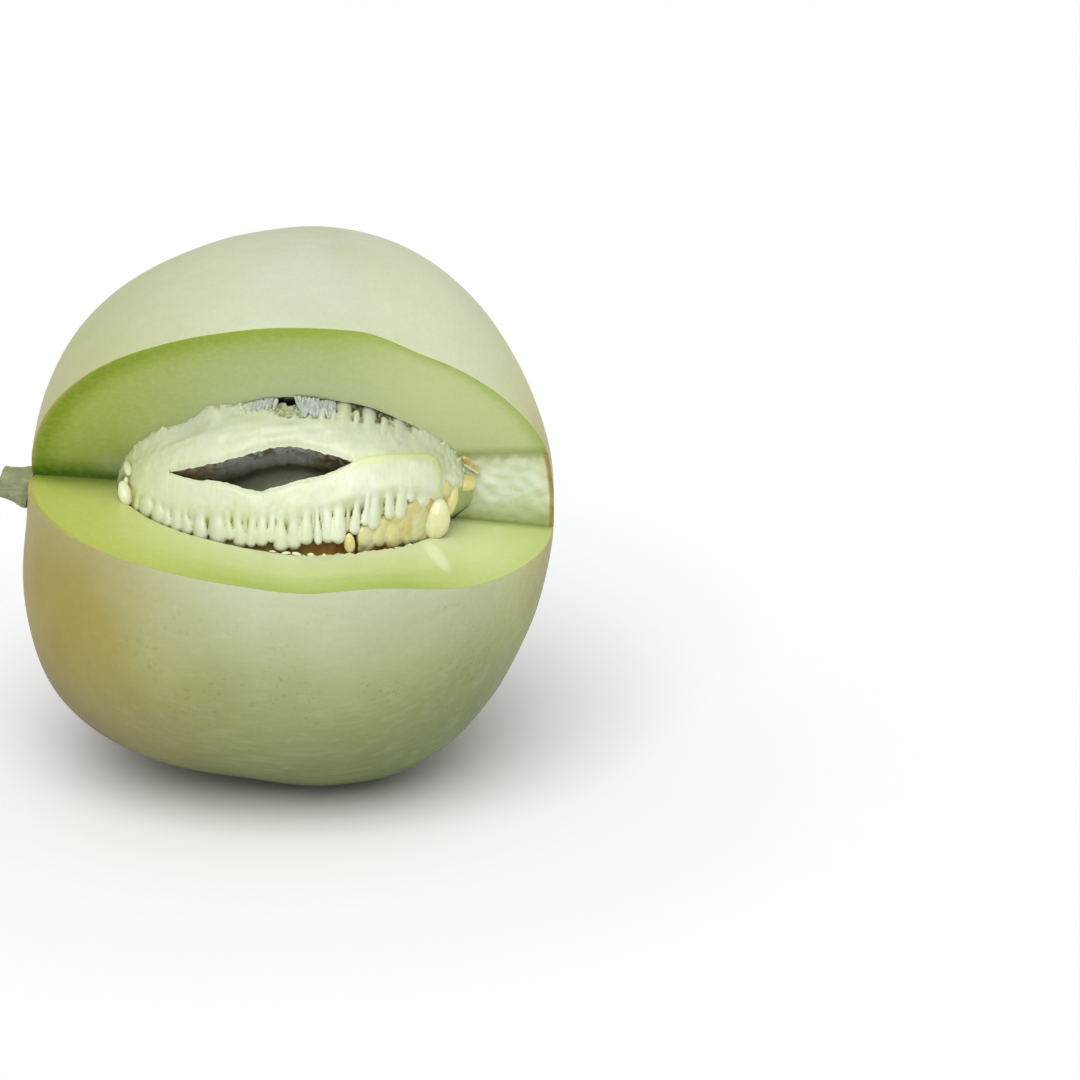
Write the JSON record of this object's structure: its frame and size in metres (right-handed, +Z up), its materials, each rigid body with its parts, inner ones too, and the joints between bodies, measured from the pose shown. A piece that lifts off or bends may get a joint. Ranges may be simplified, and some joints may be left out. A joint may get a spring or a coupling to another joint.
{
  "type": "melon with a wedge cut out",
  "caption": "Small pale green melon lying on its side, with a wedge cut out of its front that shows green flesh, cream pulp and a fringe of seeds.",
  "frame": {"origin": "on the ground, under the middle of the whole melon's box with its stem", "axes": "+X from the stem end to the blossom end, -Y towards the cut wedge, +Z up, with the melon on its side"},
  "size_m": [0.1565, 0.1584, 0.1545],
  "materials": {
    "rind_and_flesh": "waxy pale green skin with a tan side, over green flesh that pales inwards, wet where it is cut",
    "stem": "dull grey green stalk with a dry cut end",
    "pulp": "wet cream pulp, slightly see-through at its seeds",
    "seeds": "wet amber and cream seeds with a brown skin of dried pulp behind them"
  },
  "bodies": {
    "root": {"melon_body": "rind_and_flesh", "stem": "stem", "seed_pulp": "pulp", "ripe_seeds": "seeds"}
  },
  "joints": []
}
